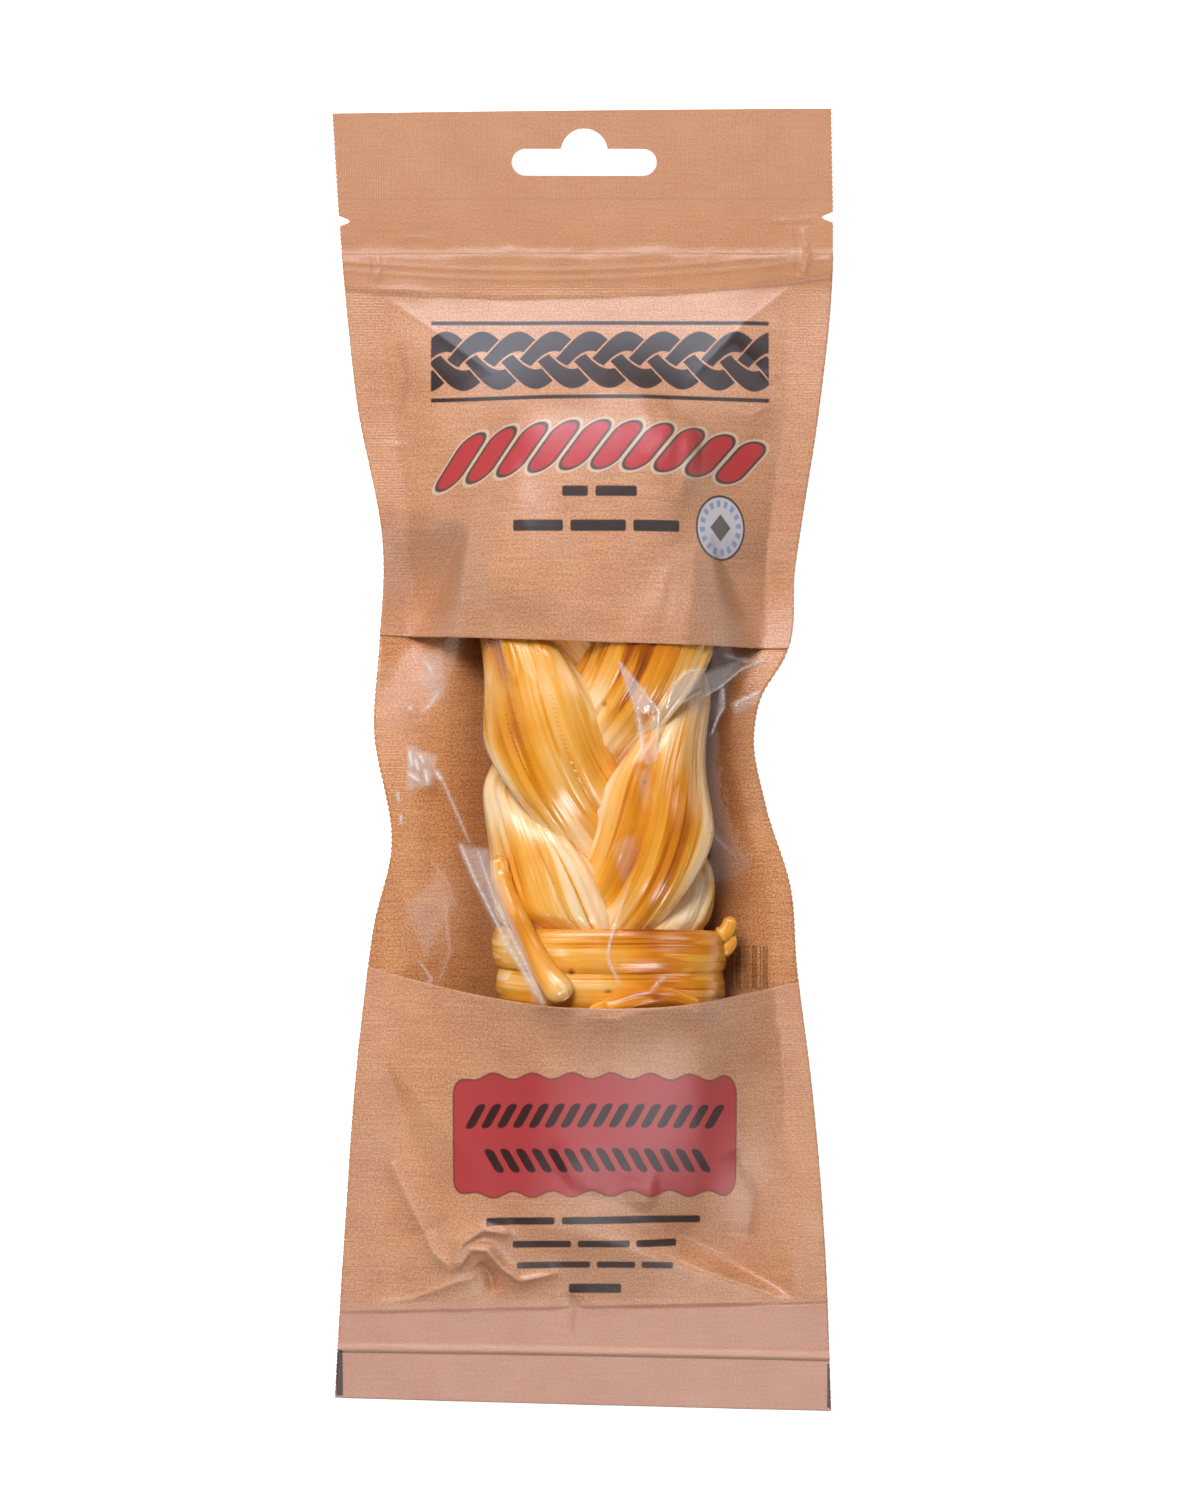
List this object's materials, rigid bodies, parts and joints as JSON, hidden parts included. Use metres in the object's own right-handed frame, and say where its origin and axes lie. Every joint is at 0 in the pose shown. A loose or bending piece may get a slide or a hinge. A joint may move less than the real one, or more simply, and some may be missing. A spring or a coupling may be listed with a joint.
{
  "type": "braided smoked cheese",
  "caption": "Plaited smoked string cheese tied near one end, sealed flat in a kraft-paper pouch with a full-width clear film window and a hang slot.",
  "frame": {"origin": "middle of the pouch's outline, on the table under the flat of its back", "axes": "+Z out of the front, +Y up the pouch towards the hang slot, +X to the right as seen from the front"},
  "size_m": [0.1112, 0.2901, 0.0382],
  "materials": {
    "kraft_paper": "satin",
    "clear_film": "gloss",
    "smoked_cheese": "satin",
    "smoked_cheese_dark": "satin"
  },
  "bodies": {
    "root": {"pouch": "kraft_paper", "window_film": "clear_film", "cheese_braid": "smoked_cheese", "cheese_tie": "smoked_cheese_dark"}
  },
  "joints": []
}
